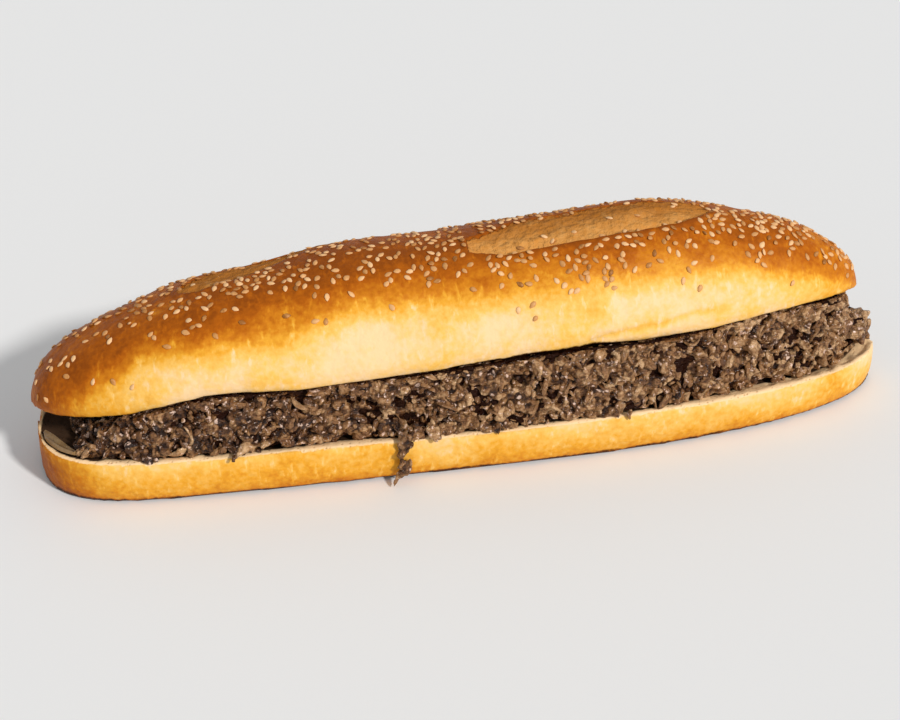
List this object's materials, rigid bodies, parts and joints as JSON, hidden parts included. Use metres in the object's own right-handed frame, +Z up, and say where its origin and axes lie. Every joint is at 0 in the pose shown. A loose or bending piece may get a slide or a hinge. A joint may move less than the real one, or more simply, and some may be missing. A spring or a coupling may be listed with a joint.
{
  "type": "submarine sandwich",
  "caption": "Long sesame-seeded roll, cut open along the front and hinged along the back, filled with chopped beef that shows all along the cut.",
  "frame": {"origin": "middle of the flat base, on the surface that the sandwich lies on", "axes": "+X along the roll to its right end as seen from the cut side, +Y to the uncut back, +Z up"},
  "size_m": [0.3434, 0.0796, 0.0843],
  "materials": {
    "bread": "baked crust, golden brown above and pale yellow below, with a cream crumb on the cut faces",
    "beef": "cooked chopped beef, grey brown and moist",
    "slice": "pale cooked slice, tan and slightly moist"
  },
  "bodies": {
    "root": {"sesame_roll": "bread", "chopped_beef": "beef", "pale_slice": "slice"}
  },
  "joints": []
}
